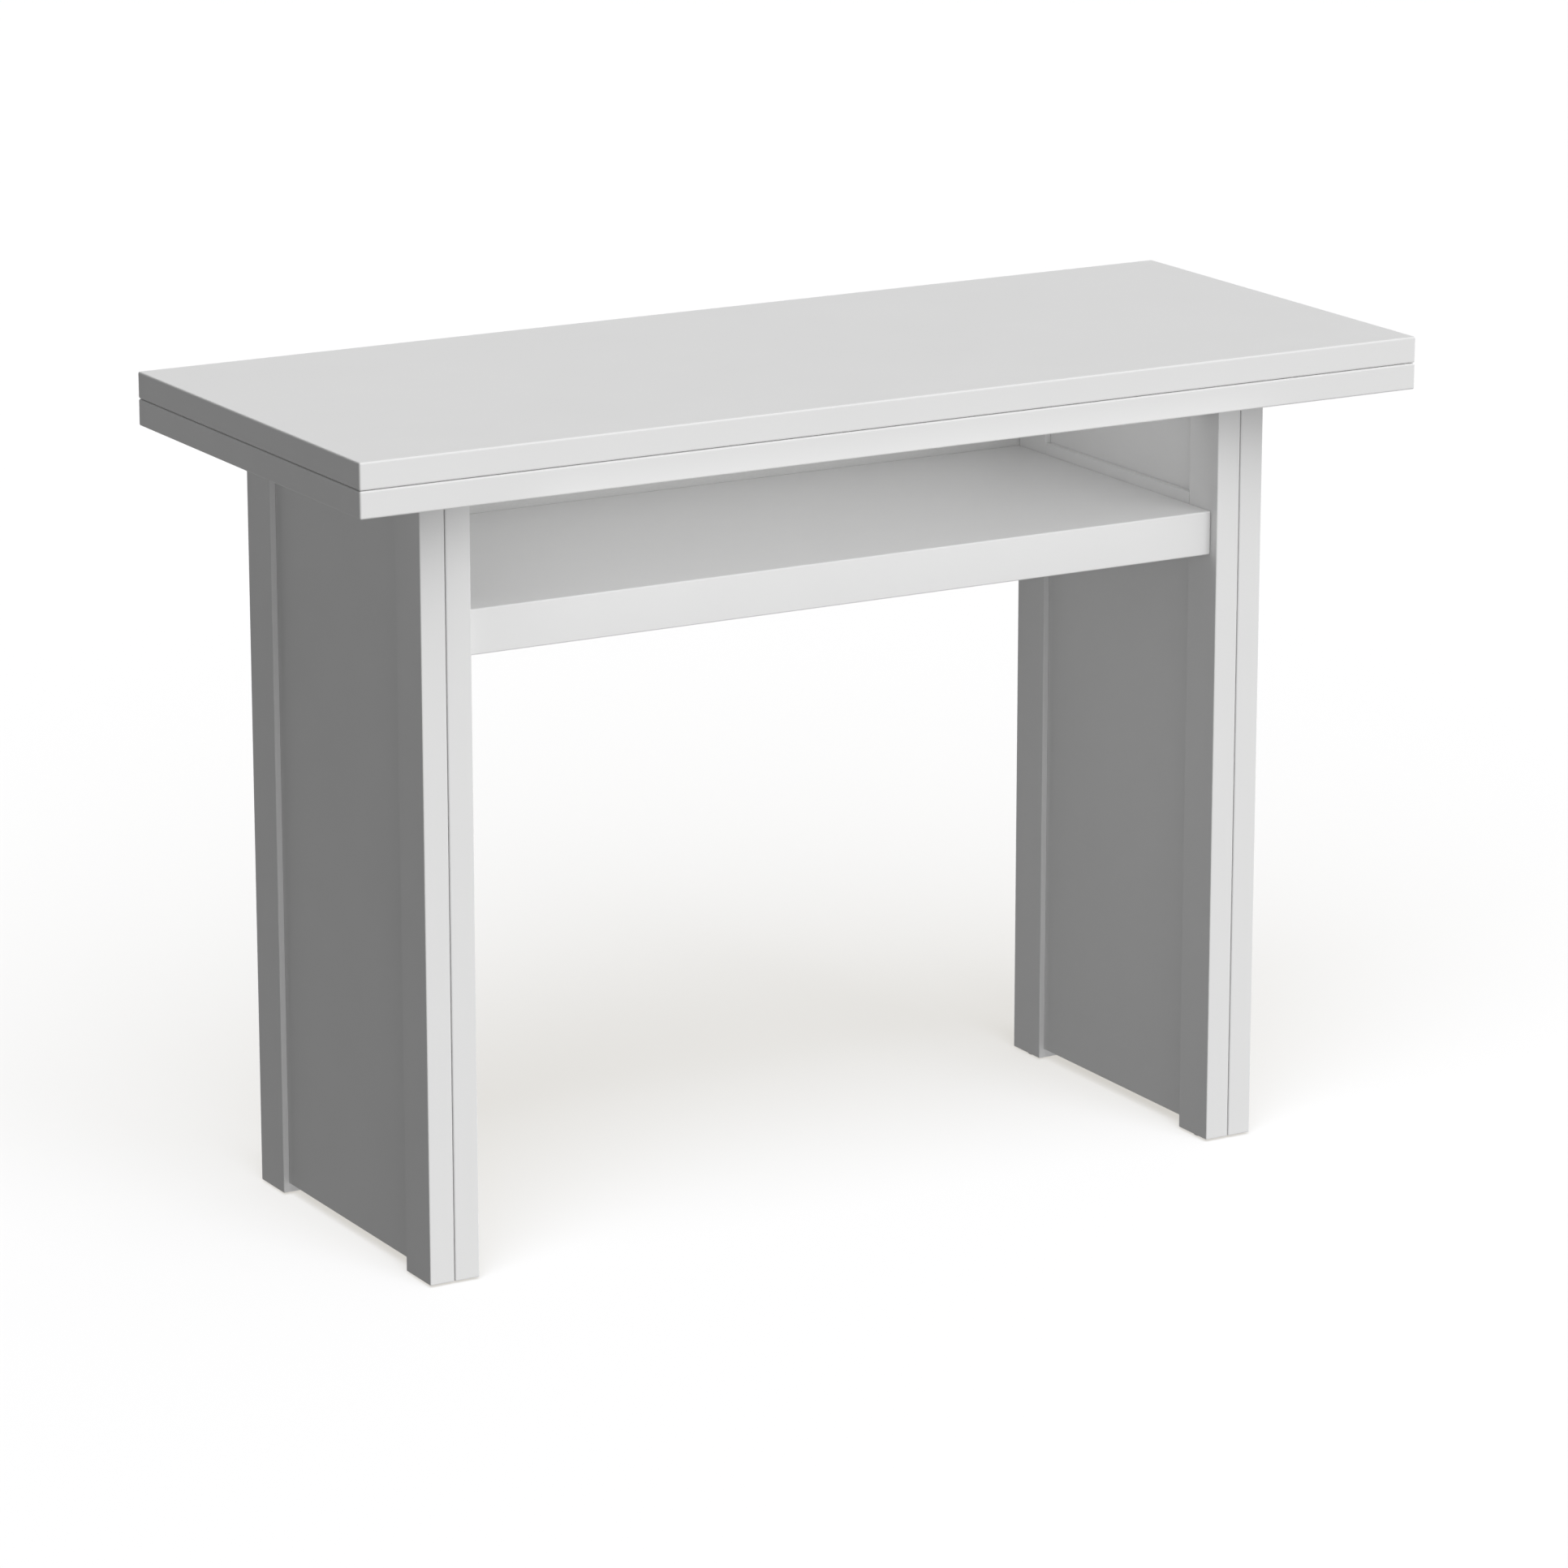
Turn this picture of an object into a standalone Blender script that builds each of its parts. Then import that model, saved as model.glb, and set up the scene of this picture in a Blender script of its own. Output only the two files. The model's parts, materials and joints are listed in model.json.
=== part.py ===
"""Fold-over console table, shown closed.

A folding leaf lies on a fixed top and turns over on three hinges along the rear edge. Two outer leg
frames carry the fixed top. Two inner leg frames stand inside them, joined by a shelf and a back panel,
and pull out to the rear on telescopic runners to carry the opened leaf.

Metres, +Z up. The origin is on the floor under the middle of the closed top. The front of the table
faces -Y, the hinges are on the +Y side, and the long side lies along X.
"""

import math

import bmesh
import bpy
from mathutils import Matrix, Vector

MM = 0.001
FIT = 0.3 * MM  # clearance kept between two pieces that touch

# The two tops
WIDTH = 1100 * MM
DEPTH = 450 * MM
TOP_THICKNESS = 24.75 * MM
TOP_SEAM = 0.5 * MM  # between the fixed top and the closed leaf
TOP_ROUNDING = 1.6 * MM

# Leg frames
BOARD_HEIGHT = 790 * MM  # from the foot of a post to the closed top's surface
POST_FOOT = 2.5 * MM  # height of a post's foot above the floor
SIDE_OVERHANG = 105 * MM
FRONT_INSET = 96 * MM
LEG_DEPTH = 350 * MM
POST_THICKNESS = 24.5 * MM
POST_WIDTH = 48 * MM
POST_ROUNDING = 0.9 * MM
NEST_GAP = 1.0 * MM  # between an outer leg frame and the inner one inside it
PANEL_THICKNESS = 12.5 * MM
PANEL_LIFT = 8.8 * MM  # panel's lower edge above the foot of the posts
TONGUE = 8 * MM  # how deep a panel stands in the posts' grooves

# Shelf, rails and back panel
SHELF_THICKNESS = 42 * MM
SHELF_TOP = 620 * MM  # above the foot of the posts
SHELF_SETBACK = 10 * MM
SHELF_ROUNDING = 1.4 * MM
RAIL_HEIGHT = 64 * MM
BACK_THICKNESS = 3 * MM
BACK_LAP = 20 * MM  # how far the back panel laps onto each inner rear post

# Glides
GLIDE_RADIUS = 9 * MM
GLIDE_PIN_RADIUS = 1.5 * MM
GLIDE_PIN_LENGTH = 12 * MM

# Hinges
HINGE_PLACES = (-400 * MM, 0, 400 * MM)
HINGE_LENGTH = 60 * MM
HINGE_REACH = 26 * MM  # from the axis to the plate's inner edge
PLATE_THICKNESS = 1.2 * MM
PLATE_OFFSET = 0.35 * MM  # from the seam's middle to a plate's face
KNUCKLE_RADIUS = 2.5 * MM
MIDDLE_KNUCKLE = 20 * MM
PIN_RADIUS = 1.2 * MM
PIN_PLAY = 0.12 * MM
SCREW_PLACES = (-20 * MM, 0, 20 * MM)
SCREW_ROW = 15 * MM  # from the axis to the screws
SCREW_HOLE_RADIUS = 1.7 * MM
SCREW_HEAD_RADIUS = 3.1 * MM

# Telescopic runners
RUNNER_LENGTH = 345 * MM
RUNNER_FRONT = 4 * MM  # behind the front of the legs
RUNNER_SHEET = 1.0 * MM
RUNNER_DROP = 11.5 * MM  # middle of a runner below the fixed top
BATTEN_WIDTH = 18 * MM
BATTEN_HEIGHT = 22 * MM
BATTEN_FRONT = 24 * MM  # behind the front of the legs

# Cam connectors
CAM_RADIUS = 7.4 * MM
CAM_LENGTH = 16.5 * MM
CAM_EDGE = 34 * MM  # from the board's end to the cam's axis
CAM_MOUTH_RADIUS = 3.4 * MM
BOLT_RADIUS = 3.0 * MM
BOLT_THREAD = 11 * MM
BOLT_BORE_RADIUS = 3.9 * MM
SHELF_BOLT_LIFT = 12 * MM  # bolt's axis above the shelf's underside

# Heights and depths that follow
CLOSED_TOP = POST_FOOT + BOARD_HEIGHT
HINGE_Z = CLOSED_TOP - TOP_THICKNESS - TOP_SEAM / 2
FIXED_TOP = HINGE_Z - TOP_SEAM / 2
UNDERSIDE = FIXED_TOP - TOP_THICKNESS
FRONT = -DEPTH / 2
REAR = DEPTH / 2
HINGE_Y = REAR + TOP_SEAM / 2
LEG_FRONT = FRONT + FRONT_INSET
LEG_REAR = LEG_FRONT + LEG_DEPTH
LEG_TOP = UNDERSIDE - FIT
OUTER_FACE = WIDTH / 2 - SIDE_OVERHANG
INNER_FRAME_FACE = OUTER_FACE - POST_THICKNESS - NEST_GAP
INSIDE_FACE = INNER_FRAME_FACE - POST_THICKNESS
PANEL_BOTTOM = POST_FOOT + PANEL_LIFT
SHELF_Z = POST_FOOT + SHELF_TOP
SHELF_BOTTOM = SHELF_Z - SHELF_THICKNESS
SHELF_FRONT = LEG_FRONT + SHELF_SETBACK
SHELF_END = INSIDE_FACE - FIT
RUNNER_Z = UNDERSIDE - RUNNER_DROP

SIDES = {"left": -1, "right": 1}
POST_MIDDLES = {"front": LEG_FRONT + POST_WIDTH / 2, "rear": LEG_REAR - POST_WIDTH / 2}


def clear_scene():
    for item in list(bpy.data.objects):
        bpy.data.objects.remove(item, do_unlink=True)


def new_collection(name):
    collection = bpy.data.collections.new(name)
    bpy.context.scene.collection.children.link(collection)
    return collection


def new_material(name, colour, roughness, metallic=0.0):
    material = bpy.data.materials.new(name)
    material.use_nodes = True
    shader = material.node_tree.nodes["Principled BSDF"]
    shader.inputs["Base Color"].default_value = (*colour, 1)
    shader.inputs["Roughness"].default_value = roughness
    shader.inputs["Metallic"].default_value = metallic
    return material


clear_scene()
TABLE = new_collection("fold_over_table")
CUTTERS = new_collection("cutters")
LACQUER = new_material("white_lacquer", (0.80, 0.80, 0.79), 0.42)
BACKING = new_material("white_backing", (0.74, 0.74, 0.73), 0.55)
STEEL = new_material("zinc_plated_steel", (0.62, 0.63, 0.65), 0.32, 1.0)
NICKEL = new_material("nickel_plated_steel", (0.70, 0.69, 0.66), 0.25, 1.0)
ZINC = new_material("zinc_casting", (0.50, 0.51, 0.53), 0.45, 1.0)
NYLON = new_material("grey_nylon", (0.36, 0.36, 0.37), 0.6)


def add_piece(name, data, place, material, smooth_angle=None):
    """A visible piece of the table at a world place."""
    piece = bpy.data.objects.new(name, data)
    piece.location = place
    if not data.materials:
        data.materials.append(material)
    if smooth_angle is not None:
        data.shade_smooth()
        data.set_sharp_from_angle(angle=smooth_angle)
    TABLE.objects.link(piece)
    return piece


def box_mesh(name, size):
    mesh = bpy.data.meshes.new(name)
    shape = bmesh.new()
    bmesh.ops.create_cube(shape, size=1)
    bmesh.ops.scale(shape, vec=size, verts=shape.verts)
    shape.to_mesh(mesh)
    shape.free()
    return mesh


def cone_mesh(name, radius_low, radius_high, length, axis, sides):
    """A closed cylinder or cone round its middle, along X, Y or Z."""
    mesh = bpy.data.meshes.new(name)
    shape = bmesh.new()
    turn = Vector((0, 0, 1)).rotation_difference(Vector(axis)).to_matrix().to_4x4()
    bmesh.ops.create_cone(
        shape,
        cap_ends=True,
        segments=sides,
        radius1=radius_low,
        radius2=radius_high,
        depth=length,
        matrix=turn,
    )
    shape.to_mesh(mesh)
    shape.free()
    return mesh


def board(name, low, high, material, rounding, segments=2):
    """A rounded board that fills the box between two corners."""
    low, high = Vector(low), Vector(high)
    piece = add_piece(name, box_mesh(name, high - low), (low + high) / 2, material)
    edges = piece.modifiers.new("rounded_edges", "BEVEL")
    edges.width = rounding
    edges.segments = segments
    return piece


def hidden_tool(name, mesh, place):
    tool = bpy.data.objects.new(name, mesh)
    tool.location = place
    tool.hide_render = True
    tool.display_type = "WIRE"
    CUTTERS.objects.link(tool)
    return tool


def combine(piece, tool, operation="DIFFERENCE"):
    joint = piece.modifiers.new(tool.name, "BOOLEAN")
    joint.operation = operation
    joint.solver = "EXACT"
    joint.object = tool


def cut_box(piece, label, low, high):
    low, high = Vector(low), Vector(high)
    name = f"{piece.name}_{label}"
    combine(piece, hidden_tool(name, box_mesh(name, high - low), (low + high) / 2))


def cut_bore(piece, label, start, end, radius, sides=16, end_radius=None):
    """A round hole from start to end, which lie on one axis of the frame."""
    start, end = Vector(start), Vector(end)
    along = end - start
    name = f"{piece.name}_{label}"
    other = radius if end_radius is None else end_radius
    mesh = cone_mesh(name, radius, other, along.length, along.normalized(), sides)
    combine(piece, hidden_tool(name, mesh, (start + end) / 2))


def turned_mesh(name, profile):
    """The half outline of a turned piece, from its top down its outer side."""
    mesh = bpy.data.meshes.new(name)
    points = [(radius, 0, height) for radius, height in profile]
    mesh.from_pydata(points, [(i, i + 1) for i in range(len(points) - 1)], [])
    return mesh


def turn(piece, steps):
    lathe = piece.modifiers.new("turned", "SCREW")
    lathe.steps = steps
    lathe.render_steps = steps
    lathe.use_merge_vertices = True
    lathe.merge_threshold = 0.02 * MM
    lathe.use_smooth_shade = True


def make_tops():
    """The fixed top and the leaf that lies on it, each mortised for the hinges."""
    fixed = board(
        "fixed_top",
        (-WIDTH / 2, FRONT, UNDERSIDE),
        (WIDTH / 2, REAR, FIXED_TOP),
        LACQUER,
        TOP_ROUNDING,
        segments=3,
    )
    leaf = board(
        "folding_leaf",
        (-WIDTH / 2, FRONT, HINGE_Z + TOP_SEAM / 2),
        (WIDTH / 2, REAR, CLOSED_TOP),
        LACQUER,
        TOP_ROUNDING,
        segments=3,
    )
    for number, x in enumerate(HINGE_PLACES, start=1):
        for piece, side in ((fixed, -1), (leaf, 1)):
            cut_hinge_seat(piece, f"seat_{number}", x, side)


def cut_hinge_seat(piece, label, x, side):
    """A mortise for a hinge plate, and a deeper notch along the edge for its knuckles."""
    half = HINGE_LENGTH / 2 + FIT
    plate_floor = HINGE_Z + side * (PLATE_OFFSET + PLATE_THICKNESS + FIT)
    knuckle_floor = HINGE_Z + side * (KNUCKLE_RADIUS + FIT)
    past_rear = HINGE_Y + KNUCKLE_RADIUS
    depths = {
        "plate": (HINGE_Y - HINGE_REACH - FIT, plate_floor),
        "knuckle": (HINGE_Y - KNUCKLE_RADIUS - FIT, knuckle_floor),
    }
    for kind, (front, floor) in depths.items():
        low = (x - half, front, min(floor, HINGE_Z))
        high = (x + half, past_rear, max(floor, HINGE_Z))
        cut_box(piece, f"{label}_{kind}", low, high)


def make_hinge(number, x):
    """A butt hinge: two plates with interlocking knuckles on one pin, along the seam's rear edge."""
    half = HINGE_LENGTH / 2
    middle = MIDDLE_KNUCKLE / 2
    outer_knuckle = (half + middle + FIT) / 2
    outer_length = half - middle - FIT
    lower = hinge_plate(f"hinge_{number}_fixed_plate", x, -1)
    for place in (-outer_knuckle, outer_knuckle):
        join_knuckle(lower, x + place, outer_length)
    clear_knuckle(lower, "middle", x, MIDDLE_KNUCKLE + 2 * FIT)
    upper = hinge_plate(f"hinge_{number}_leaf_plate", x, 1)
    join_knuckle(upper, x, MIDDLE_KNUCKLE)
    for label, place in (("left", -outer_knuckle), ("right", outer_knuckle)):
        clear_knuckle(upper, label, x + place, outer_length + 2 * FIT)
    for plate in (lower, upper):
        bore_ends = [(x + sign * HINGE_LENGTH, HINGE_Y, HINGE_Z) for sign in (-1, 1)]
        cut_bore(plate, "pin_bore", *bore_ends, PIN_RADIUS + PIN_PLAY, sides=20)
    pin = cone_mesh(f"hinge_{number}_pin", PIN_RADIUS, PIN_RADIUS, HINGE_LENGTH, (1, 0, 0), 20)
    add_piece(f"hinge_{number}_pin", pin, (x, HINGE_Y, HINGE_Z), NICKEL, math.radians(40))


def hinge_plate(name, x, side):
    """A flat plate on one side of the seam, with countersunk screw holes open towards the seam."""
    near = HINGE_Z + side * PLATE_OFFSET
    far = near + side * PLATE_THICKNESS
    low = Vector((x - HINGE_LENGTH / 2, HINGE_Y - HINGE_REACH, min(near, far)))
    high = Vector((x + HINGE_LENGTH / 2, HINGE_Y, max(near, far)))
    plate = add_piece(name, box_mesh(name, high - low), (low + high) / 2, NICKEL)
    for number, place in enumerate(SCREW_PLACES, start=1):
        start = (x + place, HINGE_Y - SCREW_ROW, far + side * FIT)
        end = (x + place, HINGE_Y - SCREW_ROW, near - side * 0.1 * MM)
        label = f"screw_hole_{number}"
        cut_bore(plate, label, start, end, SCREW_HOLE_RADIUS, 12, SCREW_HEAD_RADIUS)
    return plate


def join_knuckle(plate, x, length):
    name = f"{plate.name}_knuckle_{len(plate.modifiers)}"
    mesh = cone_mesh(name, KNUCKLE_RADIUS, KNUCKLE_RADIUS, length, (1, 0, 0), 20)
    combine(plate, hidden_tool(name, mesh, (x, HINGE_Y, HINGE_Z)), "UNION")


def clear_knuckle(plate, label, x, length):
    """Cuts the plate back from the other plate's knuckle."""
    reach = KNUCKLE_RADIUS + FIT
    low = (x - length / 2, HINGE_Y - reach, HINGE_Z - reach)
    high = (x + length / 2, HINGE_Y + reach, HINGE_Z + reach)
    cut_box(plate, f"{label}_clearance", low, high)


def make_leg_frame(layer, side_name, outer_face):
    """Two posts with a thinner panel between them; outer_face is how far out the frame reaches."""
    side = SIDES[side_name]
    inner_face = outer_face - POST_THICKNESS
    middle = side * (outer_face + inner_face) / 2
    edges = sorted((side * inner_face, side * outer_face))
    half_groove = PANEL_THICKNESS / 2 + FIT
    for end_name, y in POST_MIDDLES.items():
        post = board(
            f"{layer}_{side_name}_{end_name}_post",
            (edges[0], y - POST_WIDTH / 2, POST_FOOT),
            (edges[1], y + POST_WIDTH / 2, LEG_TOP),
            LACQUER,
            POST_ROUNDING,
        )
        towards_panel = 1 if end_name == "front" else -1
        groove_floor = y + towards_panel * (POST_WIDTH / 2 - TONGUE - FIT)
        groove_mouth = y + towards_panel * (POST_WIDTH / 2 + TONGUE)
        groove_low = (middle - half_groove, min(groove_floor, groove_mouth), PANEL_BOTTOM - FIT)
        groove_high = (middle + half_groove, max(groove_floor, groove_mouth), CLOSED_TOP)
        cut_box(post, "groove", groove_low, groove_high)
        pin_top = POST_FOOT + GLIDE_PIN_LENGTH + FIT
        cut_bore(post, "glide_bore", (middle, y, 0), (middle, y, pin_top), GLIDE_PIN_RADIUS + FIT, 12)
        make_glide(f"{layer}_{side_name}_{end_name}_glide", middle, y)
        if layer == "outer":
            join_post_to_top(post, side_name, end_name, side * inner_face, middle, y)
        else:
            join_post_to_shelf(post, side_name, end_name, side, y)
    half_panel = PANEL_THICKNESS / 2
    panel_ends = [
        POST_MIDDLES["front"] + POST_WIDTH / 2 - TONGUE,
        POST_MIDDLES["rear"] - POST_WIDTH / 2 + TONGUE,
    ]
    board(
        f"{layer}_{side_name}_panel",
        (middle - half_panel, panel_ends[0], PANEL_BOTTOM),
        (middle + half_panel, panel_ends[1], LEG_TOP),
        LACQUER,
        0.5 * MM,
    )


def make_glide(name, x, y):
    """A nail-on glide: a disc with a rounded rim under the post, on a pin in the post's foot."""
    disc = POST_FOOT - FIT
    rim = 0.8 * MM
    profile = [
        (0, disc + GLIDE_PIN_LENGTH),
        (GLIDE_PIN_RADIUS, disc + GLIDE_PIN_LENGTH - GLIDE_PIN_RADIUS),
        (GLIDE_PIN_RADIUS, disc),
        (GLIDE_RADIUS, disc),
        (GLIDE_RADIUS, rim),
        (GLIDE_RADIUS - 0.3 * rim, 0.3 * rim),
        (GLIDE_RADIUS - rim, 0),
        (0, 0),
    ]
    mesh = bpy.data.meshes.get("glide") or turned_mesh("glide", profile)
    turn(add_piece(name, mesh, (x, y, 0), NYLON), steps=20)


def bolt_mesh():
    """A connector bolt: its head at the cam's axis, its thread in the other board, along +Z."""
    grip = CAM_EDGE + FIT
    tip = grip + BOLT_THREAD
    profile = [
        (0, tip),
        (0.8 * BOLT_RADIUS, tip),
        (BOLT_RADIUS, tip - 1 * MM),
        (BOLT_RADIUS, grip),
        (2.6 * MM, grip),
        (2.6 * MM, 4 * MM),
        (1.6 * MM, 3.4 * MM),
        (1.6 * MM, 1.6 * MM),
        (BOLT_RADIUS, 0.8 * MM),
        (BOLT_RADIUS, -1.6 * MM),
        (2.2 * MM, -2.5 * MM),
        (0, -2.5 * MM),
    ]
    return bpy.data.meshes.get("connector_bolt") or turned_mesh("connector_bolt", profile)


def make_connector(label, cam_centre, cam_axis, bolt_axis, mouth_offset):
    """A cam with a driver recess in its face, and the bolt that it pulls in.

    cam_axis points out of the board through the cam's face, and bolt_axis from the cam along the
    bolt. mouth_offset is how far the bolt's axis lies behind the cam's face.
    """
    cam_axis, bolt_axis = Vector(cam_axis), Vector(bolt_axis)
    face = cam_centre + cam_axis * mouth_offset
    cam_name = f"{label}_cam"
    mesh = cone_mesh(cam_name, CAM_RADIUS, CAM_RADIUS, CAM_LENGTH, cam_axis, 24)
    cam = add_piece(cam_name, mesh, face - cam_axis * CAM_LENGTH / 2, ZINC, math.radians(40))
    mouth_end = cam_centre + bolt_axis * CAM_RADIUS * 1.5
    cut_bore(cam, "mouth", cam_centre - bolt_axis * 3.2 * MM, mouth_end, CAM_MOUTH_RADIUS)
    across = cam_axis.cross(bolt_axis)
    for name, long_way in (("recess_a", bolt_axis), ("recess_b", across)):
        short_way = cam_axis.cross(long_way)
        reach = cam_axis * 2.2 * MM + long_way * 2.6 * MM + short_way * 0.6 * MM
        span = Vector(abs(value) for value in reach)
        cut_box(cam, name, face - span, face + span)
    bolt = add_piece(f"{label}_bolt", bolt_mesh(), cam_centre, STEEL)
    bolt.rotation_mode = "QUATERNION"
    bolt.rotation_quaternion = Vector((0, 0, 1)).rotation_difference(bolt_axis)
    turn(bolt, steps=12)


def join_post_to_top(post, side_name, end_name, inner_x, x, y):
    """Cuts an outer post and adds the connector that holds the fixed top down on it."""
    side = SIDES[side_name]
    centre = Vector((x, y, LEG_TOP - CAM_EDGE))
    pocket_end = inner_x + side * (CAM_LENGTH + 2 * FIT)
    pocket = [(inner_x - side * CAM_LENGTH, y, centre.z), (pocket_end, y, centre.z)]
    cut_bore(post, "cam_pocket", *pocket, CAM_RADIUS + FIT, sides=24)
    cut_bore(post, "bolt_bore", centre, (x, y, CLOSED_TOP), BOLT_BORE_RADIUS)
    label = f"top_{side_name}_{end_name}"
    offset = POST_THICKNESS / 2 - FIT
    make_connector(label, centre, (-side, 0, 0), (0, 0, 1), offset)
    thread_end = (x, y, UNDERSIDE + BOLT_THREAD + FIT)
    top = bpy.data.objects["fixed_top"]
    cut_bore(top, f"{label}_thread", (x, y, UNDERSIDE - MM), thread_end, BOLT_RADIUS + FIT)


def join_post_to_shelf(post, side_name, end_name, side, y):
    """Cuts an inner post and the shelf, and adds the connector that pulls the shelf against it."""
    z = SHELF_BOTTOM + SHELF_BOLT_LIFT
    centre = Vector((side * (SHELF_END - CAM_EDGE), y, z))
    thread_end = (side * (INSIDE_FACE + BOLT_THREAD + FIT), y, z)
    cut_bore(post, "bolt_bore", (side * (INSIDE_FACE - MM), y, z), thread_end, BOLT_RADIUS + FIT)
    shelf = bpy.data.objects["shelf"]
    label = f"shelf_{side_name}_{end_name}"
    pocket_top = (centre.x, y, SHELF_BOTTOM + CAM_LENGTH + 2 * FIT)
    pocket_foot = (centre.x, y, SHELF_BOTTOM - CAM_LENGTH)
    cut_bore(shelf, f"{label}_cam_pocket", pocket_foot, pocket_top, CAM_RADIUS + FIT, sides=24)
    past_end = (side * (INSIDE_FACE + MM), y, z)
    cut_bore(shelf, f"{label}_bolt_bore", centre, past_end, BOLT_BORE_RADIUS)
    make_connector(label, centre, (0, 0, -1), (side, 0, 0), SHELF_BOLT_LIFT - FIT)


def make_shelf():
    board(
        "shelf",
        (-SHELF_END, SHELF_FRONT, SHELF_BOTTOM),
        (SHELF_END, LEG_REAR, SHELF_Z),
        LACQUER,
        SHELF_ROUNDING,
        segments=3,
    )
    back_end = INSIDE_FACE + BACK_LAP
    board(
        "back_panel",
        (-back_end, LEG_REAR + FIT, SHELF_BOTTOM),
        (back_end, LEG_REAR + FIT + BACK_THICKNESS, LEG_TOP - FIT),
        BACKING,
        0.3 * MM,
        segments=1,
    )


def make_shelf_rail(side_name):
    """A strip that fills an inner panel's recess level with the posts, behind the shelf's end."""
    side = SIDES[side_name]
    recess = (POST_THICKNESS - PANEL_THICKNESS) / 2
    across = sorted((side * INSIDE_FACE, side * (INSIDE_FACE + recess - FIT)))
    middle = SHELF_Z - SHELF_THICKNESS / 2
    ends = [
        POST_MIDDLES["front"] + POST_WIDTH / 2 + FIT,
        POST_MIDDLES["rear"] - POST_WIDTH / 2 - FIT,
    ]
    board(
        f"{side_name}_shelf_rail",
        (across[0], ends[0], middle - RAIL_HEIGHT / 2),
        (across[1], ends[1], middle + RAIL_HEIGHT / 2),
        LACQUER,
        0.4 * MM,
    )


def channel(name, side, back, lips, half_height, y_middle):
    """A channel section along Y: back and lips are distances from the inner leg's face."""
    outline = bpy.data.curves.new(name, "CURVE")
    outline.dimensions = "2D"
    outline.fill_mode = "BOTH"
    outline.extrude = RUNNER_LENGTH / 2
    towards_lips = 1 if lips > back else -1
    inside = half_height - RUNNER_SHEET
    web = back + towards_lips * RUNNER_SHEET
    corners = [
        (back, -half_height),
        (lips, -half_height),
        (lips, -inside),
        (web, -inside),
        (web, inside),
        (lips, inside),
        (lips, half_height),
        (back, half_height),
    ]
    spline = outline.splines.new("POLY")
    spline.points.add(len(corners) - 1)
    for point, (distance, height) in zip(spline.points, corners):
        point.co = (side * (INSIDE_FACE - distance), height, 0, 1)
    spline.use_cyclic_u = True
    piece = add_piece(name, outline, (0, y_middle, RUNNER_Z), STEEL)
    piece.rotation_euler = (math.radians(90), 0, 0)


def make_runner(side_name):
    """Three nested channels. The widest is on a batten under the top, the narrowest on the inner leg."""
    side = SIDES[side_name]
    y_middle = LEG_FRONT + RUNNER_FRONT + RUNNER_LENGTH / 2
    channel(f"{side_name}_runner_outer", side, 12.4 * MM, 3.0 * MM, 11.0 * MM, y_middle)
    channel(f"{side_name}_runner_middle", side, 10.6 * MM, 2.2 * MM, 8.2 * MM, y_middle)
    channel(f"{side_name}_runner_inner", side, FIT, 8.8 * MM, 5.4 * MM, y_middle)
    near = INSIDE_FACE - 12.4 * MM - FIT
    across = sorted((side * near, side * (near - BATTEN_WIDTH)))
    board(
        f"{side_name}_runner_batten",
        (across[0], LEG_FRONT + BATTEN_FRONT, UNDERSIDE - FIT - BATTEN_HEIGHT),
        (across[1], LEG_REAR, UNDERSIDE - FIT),
        BACKING,
        0.6 * MM,
        segments=1,
    )


make_tops()
make_shelf()
for hinge_number, hinge_x in enumerate(HINGE_PLACES, start=1):
    make_hinge(hinge_number, hinge_x)
for side_key in SIDES:
    make_leg_frame("outer", side_key, OUTER_FACE)
    make_leg_frame("inner", side_key, INNER_FRAME_FACE)
    make_shelf_rail(side_key)
    make_runner(side_key)
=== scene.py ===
"""Looks for the fold-over console table: materials, small hardware, floor, light and camera.

Lengths are in metres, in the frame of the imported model: +Z up, the front of the table faces -Y.
"""

import json
import math

import bmesh
import bpy
from mathutils import Euler, Matrix, Vector

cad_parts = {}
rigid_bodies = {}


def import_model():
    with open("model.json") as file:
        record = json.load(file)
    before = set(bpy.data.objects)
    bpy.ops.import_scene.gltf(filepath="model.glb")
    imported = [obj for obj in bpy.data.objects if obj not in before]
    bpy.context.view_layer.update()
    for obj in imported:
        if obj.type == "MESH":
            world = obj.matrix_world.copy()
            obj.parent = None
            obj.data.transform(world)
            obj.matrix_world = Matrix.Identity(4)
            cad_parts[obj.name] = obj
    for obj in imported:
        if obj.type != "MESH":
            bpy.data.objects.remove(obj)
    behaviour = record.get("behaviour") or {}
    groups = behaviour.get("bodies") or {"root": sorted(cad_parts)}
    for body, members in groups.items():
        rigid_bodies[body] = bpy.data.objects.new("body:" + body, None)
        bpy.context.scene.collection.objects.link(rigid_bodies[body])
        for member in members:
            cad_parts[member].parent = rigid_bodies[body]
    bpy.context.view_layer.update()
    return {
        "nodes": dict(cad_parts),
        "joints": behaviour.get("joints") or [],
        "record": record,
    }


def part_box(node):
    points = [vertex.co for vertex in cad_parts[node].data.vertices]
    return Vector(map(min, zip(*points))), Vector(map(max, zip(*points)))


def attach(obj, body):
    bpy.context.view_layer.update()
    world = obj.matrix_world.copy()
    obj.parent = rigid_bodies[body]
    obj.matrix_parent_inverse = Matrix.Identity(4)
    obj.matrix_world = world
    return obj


MM = 0.001
SIDES = {"left": -1, "right": 1}

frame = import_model()
nodes = frame["nodes"]

# ---------------------------------------------------------------- camera, floor and light

CAMERA_PLACE = Vector((-2.987, -5.153, 1.994))
CAMERA_AZIMUTH = math.radians(-30.09)
CAMERA_DROP = math.radians(15.145)  # below the horizon
CAMERA_LENS = 151.1
CAMERA_REACH = 200
SENSOR_WIDTH = 36.0

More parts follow.
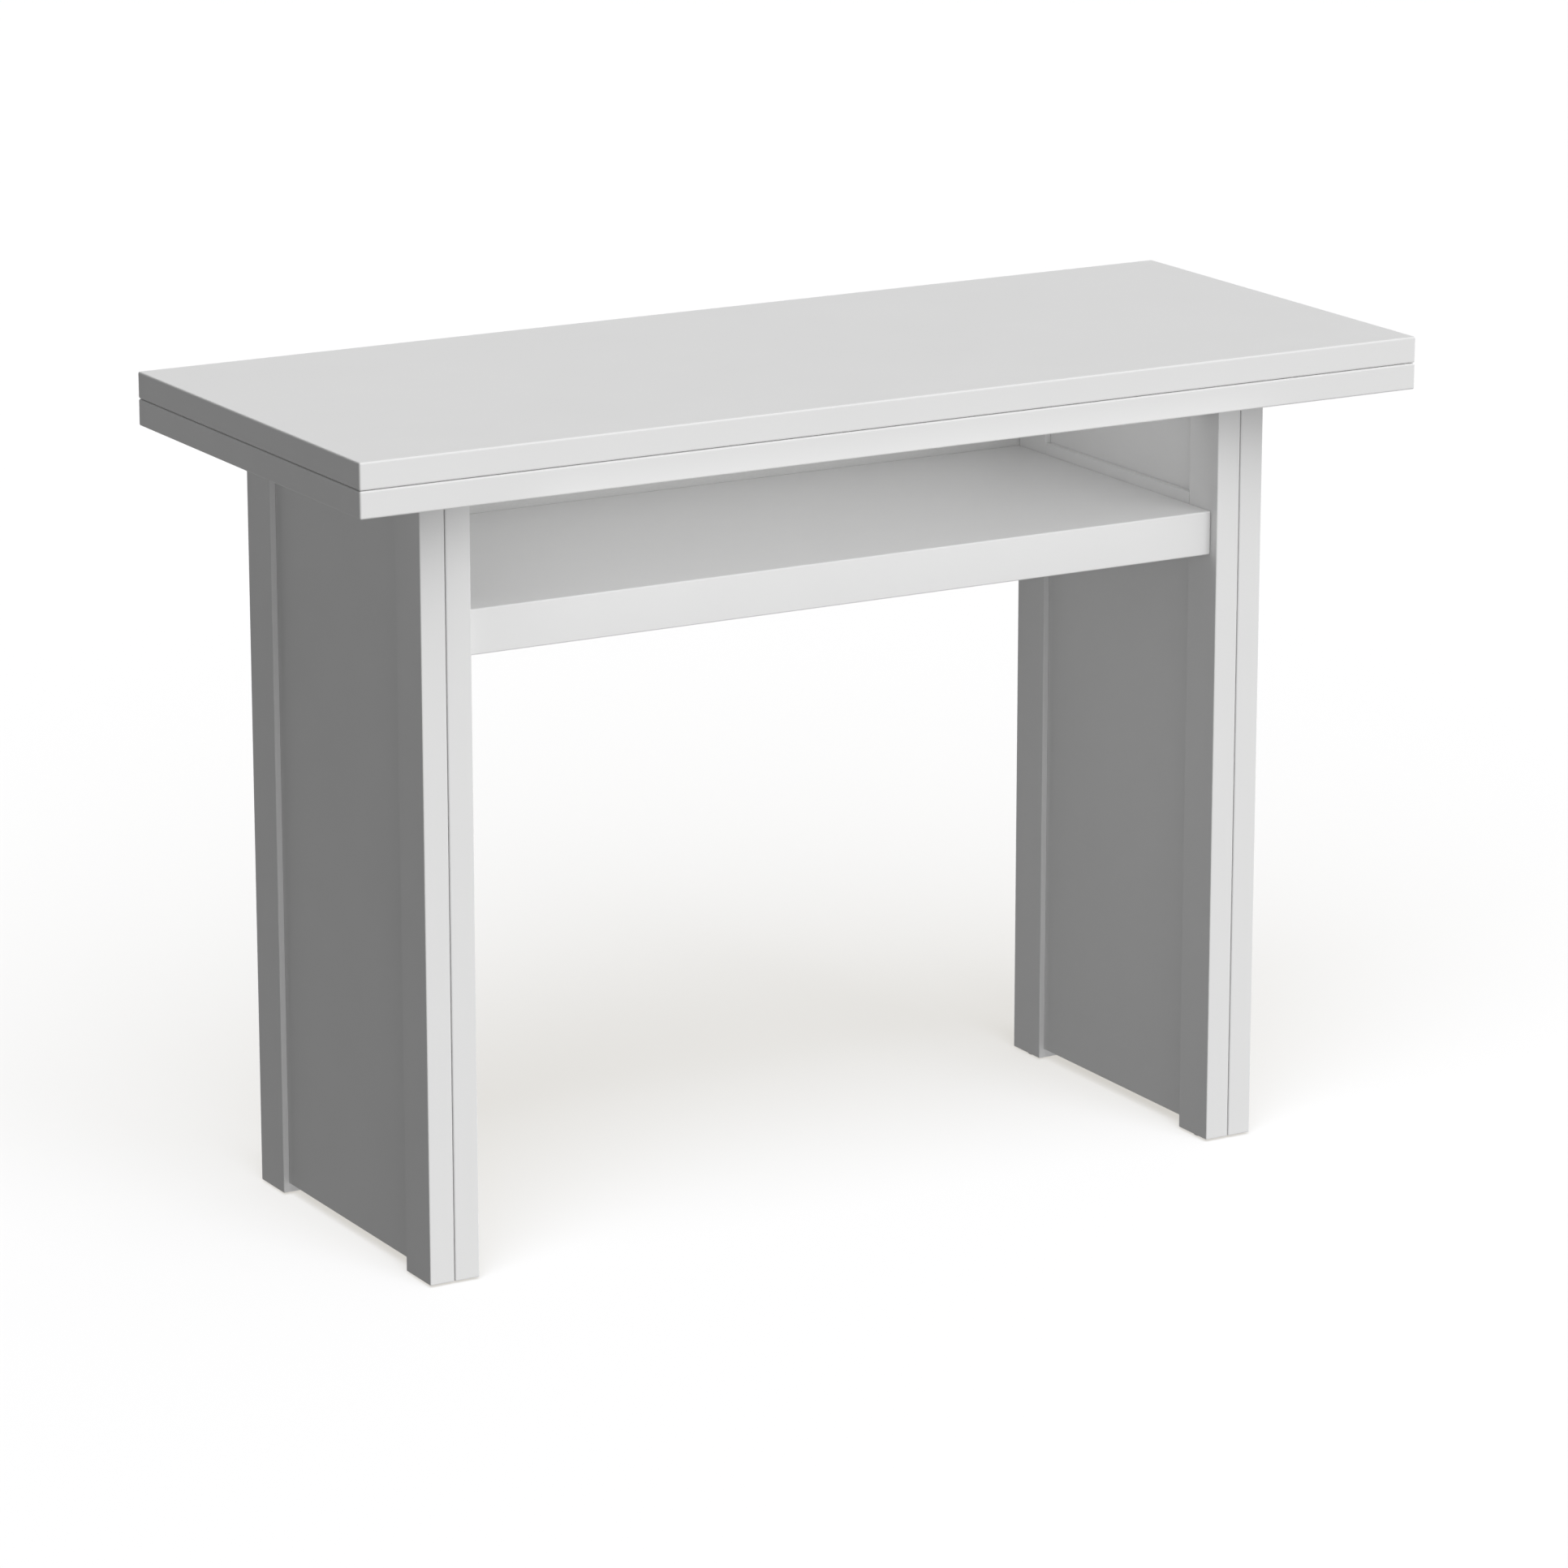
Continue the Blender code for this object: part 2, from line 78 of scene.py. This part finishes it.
FLOOR_SIZE = 120.0
FLOOR_TONE = (0.08, 0.08, 0.08)
FLOOR_ROUGHNESS = 0.9
FLOOR_GLOW = (0.622, 0.602, 0.562)
FLOOR_LIGHT_TONE = (0.84, 0.89, 1.0)
FLOOR_LIGHT_STRENGTH = 20.0
FLOOR_LIGHT_ELEVATION = math.radians(48)
FLOOR_LIGHT_AZIMUTH = math.radians(-24)
FLOOR_LIGHT_SOFTNESS = math.radians(62)

KEY_ELEVATION = math.radians(38)
KEY_AZIMUTH = math.radians(18)
KEY_SOFTNESS = math.radians(50)
KEY_STRENGTH = 1.41

# The studio's soft panels: azimuth, elevation and strength. Azimuth 0 is in front of the table.
PANELS = ((90, 40, 1.98), (180, 0, 0.87), (0, 0, 0.67), (45, -40, 0.59), (-45, 0, 0.29))
PANEL_SHARPNESS = 3
MIRRORED_SHARE = 0.5  # how much of the panels a reflection sees, over an even glow
MIRRORED_GLOW = 0.30
BACKDROP_GLOW = 1.0

# The two fills in the shelf bay: sizes in metres, powers in watts.
BAY_CEILING_SIZE = (0.76, 0.30)
BAY_CEILING_DROP = 5 * MM  # below the battens
BAY_CEILING_SHIFT = 10 * MM  # to the right
BAY_CEILING_POWER = 0.168
BAY_FRONT_SIZE = (0.76, 0.08)
BAY_FRONT_DISTANCE = 0.20  # in front of the shelf
BAY_FRONT_SPREAD = math.radians(70)
BAY_FRONT_POWER = 0.077


def make_camera():
    data = bpy.data.cameras.new("camera")
    data.lens = CAMERA_LENS
    data.sensor_width = SENSOR_WIDTH
    data.clip_end = CAMERA_REACH
    camera = bpy.data.objects.new("camera", data)
    camera.location = CAMERA_PLACE
    camera.rotation_euler = Euler((math.pi / 2 - CAMERA_DROP, 0, CAMERA_AZIMUTH))
    bpy.context.scene.collection.objects.link(camera)
    bpy.context.scene.camera = camera


def make_floor():
    """A pale floor that glows like a studio sweep, and the soft light that puts the table's shade on it."""
    mesh = bpy.data.meshes.new("floor")
    shape = bmesh.new()
    bmesh.ops.create_grid(shape, x_segments=1, y_segments=1, size=FLOOR_SIZE / 2)
    shape.to_mesh(mesh)
    shape.free()
    floor = bpy.data.objects.new("floor", mesh)
    bpy.context.scene.collection.objects.link(floor)
    material = bpy.data.materials.new("studio_floor")
    material.use_nodes = True
    shader = material.node_tree.nodes["Principled BSDF"]
    shader.inputs["Base Color"].default_value = (*FLOOR_TONE, 1)
    shader.inputs["Roughness"].default_value = FLOOR_ROUGHNESS
    shader.inputs["Specular IOR Level"].default_value = 0.0
    shader.inputs["Emission Color"].default_value = (*FLOOR_GLOW, 1)
    shader.inputs["Emission Strength"].default_value = 1.0
    mesh.materials.append(material)
    floor.visible_diffuse = False
    floor.visible_glossy = False
    floor.visible_shadow = False
    light = make_sun(
        "floor_light",
        FLOOR_LIGHT_STRENGTH,
        FLOOR_LIGHT_ELEVATION,
        FLOOR_LIGHT_AZIMUTH,
        FLOOR_LIGHT_SOFTNESS,
    )
    light.data.color = FLOOR_LIGHT_TONE
    lit = bpy.data.collections.new("lit_by_floor_light")
    lit.objects.link(floor)
    light.light_linking.receiver_collection = lit


def make_sun(name, strength, elevation, azimuth, softness):
    """A far soft light; azimuth 0 is in front of the table, and a quarter turn is on its right."""
    data = bpy.data.lights.new(name, "SUN")
    data.energy = strength
    data.angle = softness
    sun = bpy.data.objects.new(name, data)
    sun.rotation_euler = Euler((math.pi / 2 - elevation, 0, azimuth))
    bpy.context.scene.collection.objects.link(sun)
    return sun


def make_fill(name, size, place, tilt, spread, power):
    """A soft panel that the camera and reflections don't see.

    It faces down, or the rear of the table when it is tilted upright.
    """
    data = bpy.data.lights.new(name, "AREA")
    data.shape = "RECTANGLE"
    data.size, data.size_y = size
    data.spread = spread
    data.energy = power
    fill = bpy.data.objects.new(name, data)
    fill.location = place
    fill.rotation_euler = (tilt, 0, 0)
    fill.visible_camera = False
    fill.visible_glossy = False
    bpy.context.scene.collection.objects.link(fill)


def make_bay_fills():
    """Light that bounces about between the shelf and the fixed top."""
    shelf_low, shelf_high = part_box("shelf")
    middle_y = (shelf_low.y + shelf_high.y) / 2
    middle_z = (shelf_high.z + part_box("fixed_top")[0].z) / 2
    ceiling_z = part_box("left_runner_batten")[0].z - BAY_CEILING_DROP
    front_y = shelf_low.y - BAY_FRONT_DISTANCE
    ceiling = (BAY_CEILING_SHIFT, middle_y, ceiling_z)
    make_fill("bay_ceiling", BAY_CEILING_SIZE, ceiling, 0, math.pi, BAY_CEILING_POWER)
    front = (0, front_y, middle_z)
    make_fill("bay_front", BAY_FRONT_SIZE, front, math.pi / 2, BAY_FRONT_SPREAD, BAY_FRONT_POWER)


def make_world():
    """The soft panels round the table, as smooth lobes of light.

    Reflections see a more even studio, and the camera sees a plain white backdrop.
    """
    world = bpy.data.worlds.new("studio")
    bpy.context.scene.world = world
    world.use_nodes = True
    tree = world.node_tree
    tree.nodes.clear()
    out = tree.nodes.new("ShaderNodeOutputWorld")
    background = tree.nodes.new("ShaderNodeBackground")
    tree.links.new(background.outputs[0], out.inputs[0])
    place = tree.nodes.new("ShaderNodeTexCoord").outputs["Generated"]

    def plug(value, socket):
        if isinstance(value, (int, float)):
            socket.default_value = value
        else:
            tree.links.new(value, socket)

    def compute(operation, *values):
        node = tree.nodes.new("ShaderNodeMath")
        node.operation = operation
        for socket, value in zip(node.inputs, values):
            plug(value, socket)
        return node.outputs[0]

    ray = tree.nodes.new("ShaderNodeLightPath")

    def seen_by(kind, seen, otherwise):
        """The strength that one kind of ray meets, and the strength that the others meet."""
        choice = tree.nodes.new("ShaderNodeMix")
        tree.links.new(ray.outputs[kind], choice.inputs["Factor"])
        plug(otherwise, choice.inputs["A"])
        plug(seen, choice.inputs["B"])
        return choice.outputs["Result"]

    total = 0.0
    for azimuth, elevation, strength in PANELS:
        turn, lift = math.radians(azimuth), math.radians(elevation)
        facing = tree.nodes.new("ShaderNodeVectorMath")
        facing.operation = "DOT_PRODUCT"
        facing.inputs[1].default_value = (
            math.sin(turn) * math.cos(lift),
            -math.cos(turn) * math.cos(lift),
            math.sin(lift),
        )
        tree.links.new(place, facing.inputs[0])
        lobe = compute("POWER", compute("MAXIMUM", facing.outputs["Value"], 0.0), PANEL_SHARPNESS)
        total = compute("MULTIPLY_ADD", lobe, strength, total)
    mirrored = compute("MULTIPLY_ADD", total, MIRRORED_SHARE, MIRRORED_GLOW)
    strength = seen_by("Is Camera Ray", BACKDROP_GLOW, seen_by("Is Glossy Ray", mirrored, total))
    tree.links.new(strength, background.inputs["Strength"])


bpy.context.scene.view_settings.view_transform = "Standard"
make_camera()
make_floor()
make_sun("key", KEY_STRENGTH, KEY_ELEVATION, KEY_AZIMUTH, KEY_SOFTNESS)
make_bay_fills()
make_world()

# ---------------------------------------------------------------- materials


def new_material(name):
    material = bpy.data.materials.new(name)
    material.use_nodes = True
    tree = material.node_tree
    shader = tree.nodes["Principled BSDF"]
    return material, tree, shader


def noise(tree, scale, detail=2.0, roughness=0.5, stretch=(1, 1, 1)):
    """Noise over the piece's own coordinates; scale is features per metre."""
    place = tree.nodes.new("ShaderNodeTexCoord")
    spread = tree.nodes.new("ShaderNodeMapping")
    spread.inputs["Scale"].default_value = stretch
    texture = tree.nodes.new("ShaderNodeTexNoise")
    texture.inputs["Scale"].default_value = scale
    texture.inputs["Detail"].default_value = detail
    texture.inputs["Roughness"].default_value = roughness
    tree.links.new(place.outputs["Object"], spread.inputs["Vector"])
    tree.links.new(spread.outputs["Vector"], texture.inputs["Vector"])
    return texture.outputs["Fac"]


def ranged(tree, value, low, high, clip=(0.3, 0.7)):
    node = tree.nodes.new("ShaderNodeMapRange")
    node.inputs["From Min"].default_value = clip[0]
    node.inputs["From Max"].default_value = clip[1]
    node.inputs["To Min"].default_value = low
    node.inputs["To Max"].default_value = high
    tree.links.new(value, node.inputs["Value"])
    return node.outputs["Result"]


def blended(tree, value, colour_a, colour_b):
    mix = tree.nodes.new("ShaderNodeMix")
    mix.data_type = "RGBA"
    tree.links.new(value, mix.inputs["Factor"])
    mix.inputs["A"].default_value = (*colour_a, 1)
    mix.inputs["B"].default_value = (*colour_b, 1)
    return mix.outputs["Result"]


def bumped(tree, height, depth, strength=1.0, before=None):
    bump = tree.nodes.new("ShaderNodeBump")
    bump.inputs["Distance"].default_value = depth
    bump.inputs["Strength"].default_value = strength
    tree.links.new(height, bump.inputs["Height"])
    if before is not None:
        tree.links.new(before, bump.inputs["Normal"])
    return bump.outputs["Normal"]


def lacquer(name, tone, roughness):
    """Sprayed satin lacquer: a faint orange peel, a finer spray grain and slight cloudiness."""
    material, tree, shader = new_material(name)
    dark = tuple(0.988 * value for value in tone)
    cloud = ranged(tree, noise(tree, 9, detail=3), 0, 1)
    tree.links.new(blended(tree, cloud, dark, tone), shader.inputs["Base Color"])
    haze = noise(tree, 26, detail=4, roughness=0.6)
    tree.links.new(
        ranged(tree, haze, roughness - 0.035, roughness + 0.035), shader.inputs["Roughness"]
    )
    peel = bumped(tree, noise(tree, 420, detail=1.5), 0.02 * MM, 0.7)
    grain = bumped(tree, noise(tree, 2600, detail=1), 0.006 * MM, 0.6, before=peel)
    tree.links.new(grain, shader.inputs["Normal"])
    shader.inputs["IOR"].default_value = 1.5
    return material


def foil(name, tone):
    """Printed backing foil on thin board: matt, with a fine paper fibre."""
    material, tree, shader = new_material(name)
    fibre = noise(tree, 900, detail=3, stretch=(0.25, 1, 1))
    dark = tuple(0.95 * value for value in tone)
    tree.links.new(blended(tree, ranged(tree, fibre, 0, 1), dark, tone), shader.inputs["Base Color"])
    tree.links.new(ranged(tree, fibre, 0.52, 0.66), shader.inputs["Roughness"])
    tree.links.new(bumped(tree, fibre, 0.02 * MM, 0.5), shader.inputs["Normal"])
    return material


def metal(name, tone, roughness, streak=(1, 1, 1), scale=700, depth=0.01):
    """Plated metal with fine streaks along its length, or an even grain where streak is even."""
    material, tree, shader = new_material(name)
    shader.inputs["Metallic"].default_value = 1.0
    lines = noise(tree, scale, detail=3, stretch=streak)
    dark = tuple(0.86 * value for value in tone)
    tree.links.new(blended(tree, ranged(tree, lines, 0, 1), dark, tone), shader.inputs["Base Color"])
    tree.links.new(ranged(tree, lines, roughness - 0.06, roughness + 0.08), shader.inputs["Roughness"])
    tree.links.new(bumped(tree, lines, depth * MM, 0.6), shader.inputs["Normal"])
    return material


def nylon(name, tone):
    material, tree, shader = new_material(name)
    speckle = noise(tree, 1500, detail=2)
    dark = tuple(0.85 * value for value in tone)
    tree.links.new(blended(tree, ranged(tree, speckle, 0, 1), dark, tone), shader.inputs["Base Color"])
    tree.links.new(ranged(tree, speckle, 0.5, 0.66), shader.inputs["Roughness"])
    tree.links.new(bumped(tree, speckle, 0.02 * MM, 0.6), shader.inputs["Normal"])
    return material


LACQUER = lacquer("white_lacquer_look", (0.87, 0.87, 0.868), 0.40)
FOIL = foil("white_foil_look", (0.80, 0.80, 0.795))
RUNNER = metal("runner_steel_look", (0.58, 0.59, 0.61), 0.38, streak=(1, 0.02, 1))
SCREW = metal("screw_steel_look", (0.60, 0.60, 0.61), 0.34, scale=1500)
NICKEL = metal("hinge_nickel_look", (0.62, 0.60, 0.56), 0.36, streak=(0.03, 1, 1), scale=1100)
CASTING = metal("cam_zinc_look", (0.42, 0.43, 0.45), 0.48, scale=900, depth=0.03)
NYLON = nylon("glide_nylon_look", (0.32, 0.32, 0.33))

LOOKS = {
    "white_lacquer": LACQUER,
    "white_backing": FOIL,
    "runner_steel": RUNNER,
    "bolt_steel": SCREW,
    "hinge_nickel": NICKEL,
    "cam_zinc": CASTING,
    "glide_nylon": NYLON,
}
for part in frame["record"]["subparts"]:
    node = nodes[part["node"]]
    for place in node.material_slots:
        place.material = LOOKS[part["material_slot"]]

# ---------------------------------------------------------------- shaping helpers

TURN_STEPS = 24
SMOOTH_BELOW = math.radians(32)


def turned(name, profile):
    """A solid turned round Z; its outline runs from the middle of the top down to the middle of the tip.

    The rings are made in a fixed order, so that the mesh is the same each time.
    """
    mesh = bpy.data.meshes.new(name)
    shape = bmesh.new()
    angles = [2 * math.pi * step / TURN_STEPS for step in range(TURN_STEPS)]
    rings = []
    for radius, height in profile:
        spokes = angles if radius else angles[:1]  # on the axis a ring is one point
        corners = [(radius * math.cos(turn), radius * math.sin(turn), height) for turn in spokes]
        rings.append([shape.verts.new(corner) for corner in corners])
    for upper, lower in zip(rings, rings[1:]):
        for step in range(TURN_STEPS):
            after = (step + 1) % TURN_STEPS
            left = (upper[step % len(upper)], lower[step % len(lower)])
            right = (lower[after % len(lower)], upper[after % len(upper)])
            shape.faces.new(dict.fromkeys(left + right))
    shape.to_mesh(mesh)
    shape.free()
    return mesh


def block(name, low, high, foot=(1, 1)):
    """A box between two corners, its foot narrowed about its middle by the two shares."""
    low, high = Vector(low), Vector(high)
    mesh = bpy.data.meshes.new(name)
    shape = bmesh.new()
    bmesh.ops.create_cube(shape, size=1)
    for corner in shape.verts:
        if corner.co.z < 0:
            corner.co.x *= foot[0]
            corner.co.y *= foot[1]
    bmesh.ops.scale(shape, vec=high - low, verts=shape.verts)
    bmesh.ops.translate(shape, vec=(low + high) / 2, verts=shape.verts)
    shape.to_mesh(mesh)
    shape.free()
    return mesh


def carved(mesh, cutters):
    """The mesh with each of the cutter meshes taken out of it."""
    scene_items = bpy.context.scene.collection.objects
    work = bpy.data.objects.new(mesh.name, mesh)
    scene_items.link(work)
    tools = []
    for number, cutter in enumerate(cutters):
        tool = bpy.data.objects.new(f"{mesh.name}_cutter_{number}", cutter)
        scene_items.link(tool)
        tools.append(tool)
        cut = work.modifiers.new(tool.name, "BOOLEAN")
        cut.operation = "DIFFERENCE"
        cut.solver = "EXACT"
        cut.object = tool
    depsgraph = bpy.context.evaluated_depsgraph_get()
    result = bpy.data.meshes.new_from_object(work.evaluated_get(depsgraph))
    for item in [work, *tools]:
        bpy.data.objects.remove(item)
    return result


def copies(name, mesh, places, body, look):
    """One piece made of copies of a mesh, each at its own matrix."""
    shape = bmesh.new()
    for matrix in places:
        first = len(shape.verts)
        shape.from_mesh(mesh)
        shape.verts.ensure_lookup_table()
        bmesh.ops.transform(shape, matrix=matrix, verts=shape.verts[first:])
    result = bpy.data.meshes.new(name)
    shape.to_mesh(result)
    shape.free()
    result.materials.clear()
    result.materials.append(look)
    result.shade_smooth()
    result.set_sharp_from_angle(angle=SMOOTH_BELOW)
    piece = bpy.data.objects.new(name, result)
    bpy.context.scene.collection.objects.link(piece)
    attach(piece, body)
    return piece


def pointing(place, axis, spin=0.0):
    """The matrix that puts a turned solid at a place, its head towards axis."""
    turn = Vector((0, 0, 1)).rotation_difference(Vector(axis)).to_matrix().to_4x4()
    return Matrix.Translation(place) @ turn @ Matrix.Rotation(spin, 4, "Z")


# ---------------------------------------------------------------- screws and pins

SPIN_STEP = math.radians(37)  # each screw stops at its own angle


def screw(name, head, core, thread, length, pitch, recess):
    """A wood screw with a cross recess; height 0 is where its head rests on the work.

    head is the head's outline from the top down. recess is the cross's reach, width and depth.
    """
    outline = [(0, head[0][1]), *head]
    point_length = 3 * core
    start = head[-1][1]
    turns = int((start + length - point_length) / pitch)
    for number in range(turns):
        ridge = start - (number + 0.5) * pitch
        outline += [(core, ridge + 0.3 * pitch), (thread, ridge), (core, ridge - 0.3 * pitch)]
    outline += [(0.8 * core, point_length / 2 - length), (0, -length)]
    reach, width, depth = recess
    top, floor = head[0][1] + 0.3 * MM, head[0][1] - depth
    arms = [
        block(f"{name}_arm_a", (-reach, -width, floor), (reach, width, top), foot=(0.35, 0.7)),
        block(f"{name}_arm_b", (-width, -reach, floor), (width, reach, top), foot=(0.7, 0.35)),
    ]
    return carved(turned(name, outline), arms)


HINGE_SCREW = screw(
    "hinge_screw",
    head=[(2.6 * MM, 0), (2.84 * MM, -0.08 * MM), (1.5 * MM, -1.5 * MM)],
    core=1.05 * MM,
    thread=1.5 * MM,
    length=13 * MM,
    pitch=1.3 * MM,
    recess=(1.65 * MM, 0.36 * MM, 1.4 * MM),
)
LOW_SCREW = screw(
    "low_screw",
    head=[(2.9 * MM, 0.44 * MM), (3.4 * MM, 0.3 * MM), (3.6 * MM, 0), (1.7 * MM, 0)],
    core=1.2 * MM,
    thread=1.7 * MM,
    length=14 * MM,
    pitch=1.4 * MM,
    recess=(1.7 * MM, 0.38 * MM, 1.5 * MM),
)
PAN_SCREW = screw(
    "pan_screw",
    head=[
        (1.6 * MM, 1.62 * MM),
        (2.4 * MM, 1.45 * MM),
        (3.0 * MM, 1.1 * MM),
        (3.35 * MM, 0.6 * MM),
        (3.45 * MM, 0),
        (1.9 * MM, 0),
    ],
    core=1.35 * MM,
    thread=1.9 * MM,
    length=36 * MM,
    pitch=1.8 * MM,
    recess=(1.9 * MM, 0.42 * MM, 1.5 * MM),
)
POST_SCREW = screw(
    "post_screw",
    head=[
        (1.5 * MM, 1.1 * MM),
        (2.3 * MM, 0.98 * MM),
        (2.9 * MM, 0.7 * MM),
        (3.2 * MM, 0.3 * MM),
        (3.2 * MM, 0),
        (1.7 * MM, 0),
    ],
    core=1.2 * MM,
    thread=1.7 * MM,
    length=15 * MM,
    pitch=1.4 * MM,
    recess=(1.7 * MM, 0.38 * MM, 1.5 * MM),
)
BACK_PIN = turned(
    "back_pin",
    [
        (0, 0.5 * MM),
        (0.8 * MM, 0.45 * MM),
        (1.5 * MM, 0.3 * MM),
        (1.9 * MM, 0.05 * MM),
        (1.9 * MM, 0),
        (0.55 * MM, 0),
        (0.55 * MM, -14 * MM),
        (0, -15.5 * MM),
    ],
)

# Plates meet the seam this far from the hinge axis, and their screws stand in one row behind it.
PLATE_OFFSET = 0.35 * MM
SCREW_ROW = 15 * MM
SCREW_PLACES = (-20 * MM, 0, 20 * MM)
HEAD_DEPTH = 0.05 * MM  # a countersunk head lies this far under the plate's face


def make_hinge_screws():
    joint = next(item for item in frame["joints"] if item["name"] == "leaf_hinge")
    axis_place = Vector(joint["pos_m"])
    for number in (1, 2, 3):
        for kind, body, side in (("fixed", joint["parent"], -1), ("leaf", joint["child"], 1)):
            low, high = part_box(f"hinge_{number}_{kind}_plate")
            middle = (low.x + high.x) / 2
            height = axis_place.z + side * (PLATE_OFFSET + HEAD_DEPTH)
            places = [
                pointing((middle + x, axis_place.y - SCREW_ROW, height), (0, 0, -side), i * SPIN_STEP)
                for i, x in enumerate(SCREW_PLACES, start=number)
            ]
            name = f"hinge_{number}_{kind}_screws"
            copies(name, HINGE_SCREW, places, body, NICKEL)


BATTEN_SCREW_INSET = 30 * MM


def make_batten_screws(side_name):
    low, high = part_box(f"{side_name}_runner_batten")
    first, last = low.y + BATTEN_SCREW_INSET, high.y - BATTEN_SCREW_INSET
    places = [
        pointing(((low.x + high.x) / 2, y, low.z), (0, 0, -1), i * SPIN_STEP)
        for i, y in enumerate((first, (first + last) / 2, last))
    ]
    copies(f"{side_name}_batten_screws", PAN_SCREW, places, "fixed_frame", SCREW)


BACK_PIN_SPACING = 120 * MM
BACK_PIN_EDGE = 10 * MM


def make_back_pins():
    """Pins through the back panel, along the shelf and up the two inner rear posts."""
    low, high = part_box("back_panel")
    shelf_low, shelf_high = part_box("shelf")
    row_z = (shelf_low.z + shelf_high.z) / 2
    spots = [(step * BACK_PIN_SPACING, row_z) for step in range(-3, 4)]
    top_z = high.z - BACK_PIN_EDGE
    for x in (low.x + BACK_PIN_EDGE, high.x - BACK_PIN_EDGE):
        spots += [(x, z) for z in (row_z, (row_z + top_z) / 2, top_z)]
    places = [pointing((x, high.y, z), (0, 1, 0)) for x, z in spots]
    copies("back_panel_pins", BACK_PIN, places, "pull_out_frame", SCREW)


# ---------------------------------------------------------------- inside the runners

SHEET = 1.0 * MM  # the channels' sheet
STRIP = 0.4 * MM  # the ball cages' sheet
BALL_RADIUS = 0.85 * MM
BALL_SPACING = 9 * MM
CAGE_START = 179 * MM  # from the front of the runner; the channels overlap here however far they slide
CAGE_LENGTH = 162 * MM
CAGE_BRIDGE = 7 * MM
CUT_MARGIN = 2 * MM  # how far a cutter runs past what it cuts
BALL_FINENESS = 2


# How far the outer channel's screws stand behind its front end.
OUTER_SCREW_ROWS = (40 * MM, 150 * MM, CAGE_START + CAGE_LENGTH / 2)


def reach_from_middle(name):
    """How near to and how far from the table's middle plane a node lies."""
    low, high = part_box(name)
    return min(abs(low.x), abs(high.x)), max(abs(low.x), abs(high.x))


def half_height(name):
    low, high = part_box(name)
    return (high.z - low.z) / 2


def make_runner_screws(side_name):
    """Low heads hold the outer channel to its batten, and low pan heads hold the inner one to the posts."""
    side = SIDES[side_name]
    low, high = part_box(f"{side_name}_runner_outer")
    height = (low.z + high.z) / 2
    web = side * (reach_from_middle(f"{side_name}_runner_outer")[0] + SHEET)
    places = [
        pointing((web, low.y + row, height), (side, 0, 0), i * SPIN_STEP)
        for i, row in enumerate(OUTER_SCREW_ROWS)
    ]
    name = f"{side_name}_runner_outer_screws"
    copies(name, LOW_SCREW, places, "fixed_frame", SCREW)
    web = side * (reach_from_middle(f"{side_name}_runner_inner")[1] - SHEET)
    places = []
    for number, end_name in enumerate(("front", "rear")):
        post_low, post_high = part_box(f"inner_{side_name}_{end_name}_post")
        spot = (web, (post_low.y + post_high.y) / 2, height)
        places.append(pointing(spot, (-side, 0, 0), number * SPIN_STEP))
    name = f"{side_name}_runner_inner_screws"
    copies(name, POST_SCREW, places, "pull_out_frame", SCREW)


def make_ball_cage(label, side_name, wide, narrow, body):
    """A cage and its two rows of balls, between a wide channel and the narrower one inside it."""
    side = SIDES[side_name]
    low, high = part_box(wide)
    height = (low.z + high.z) / 2
    start = low.y + CAGE_START
    end = start + CAGE_LENGTH
    row = (half_height(wide) - SHEET + half_height(narrow)) / 2
    wide_near, wide_far = reach_from_middle(wide)
    narrow_near, narrow_far = reach_from_middle(narrow)
    web = (wide_near + SHEET + narrow_near) / 2
    lip = min(wide_far, narrow_far) - SHEET
    across = sorted((side * (web - STRIP / 2), side * lip))
    hollow = sorted((side * (web + STRIP / 2), side * (lip + CUT_MARGIN)))
    window = sorted((side * (web - CUT_MARGIN), side * (lip + CUT_MARGIN)))
    outer_z, inner_z = row + STRIP / 2, row - STRIP / 2
    shell = block(label, (across[0], start, height - outer_z), (across[1], end, height + outer_z))
    cutters = [
        block(
            f"{label}_hollow",
            (hollow[0], start - CUT_MARGIN, height - inner_z),
            (hollow[1], end + CUT_MARGIN, height + inner_z),
        ),
        block(
            f"{label}_window",
            (window[0], start + CAGE_BRIDGE, height - inner_z),
            (window[1], end - CAGE_BRIDGE, height + inner_z),
        ),
    ]
    still = [Matrix.Identity(4)]
    copies(f"{label}_cage", carved(shell, cutters), still, body, RUNNER)
    ball = bpy.data.meshes.new("ball")
    shape = bmesh.new()
    bmesh.ops.create_icosphere(shape, subdivisions=BALL_FINENESS, radius=BALL_RADIUS)
    shape.to_mesh(ball)
    shape.free()
    middle = side * (max(wide_near, narrow_near) + lip) / 2
    count = int((CAGE_LENGTH - 2 * CAGE_BRIDGE) / BALL_SPACING) + 1
    places = [
        Matrix.Translation((middle, start + CAGE_BRIDGE + step * BALL_SPACING, height + rise))
        for step in range(count)
        for rise in (-row, row)
    ]
    copies(f"{label}_balls", ball, places, body, SCREW)


def make_runner_insides(side_name):
    outer, middle, inner = (f"{side_name}_runner_{layer}" for layer in ("outer", "middle", "inner"))
    make_runner_screws(side_name)
    make_ball_cage(f"{side_name}_outer_ball", side_name, outer, middle, "fixed_frame")
    make_ball_cage(f"{side_name}_inner_ball", side_name, middle, inner, f"{side_name}_runner_slide")


make_hinge_screws()
make_back_pins()
for side_key in SIDES:
    make_batten_screws(side_key)
    make_runner_insides(side_key)
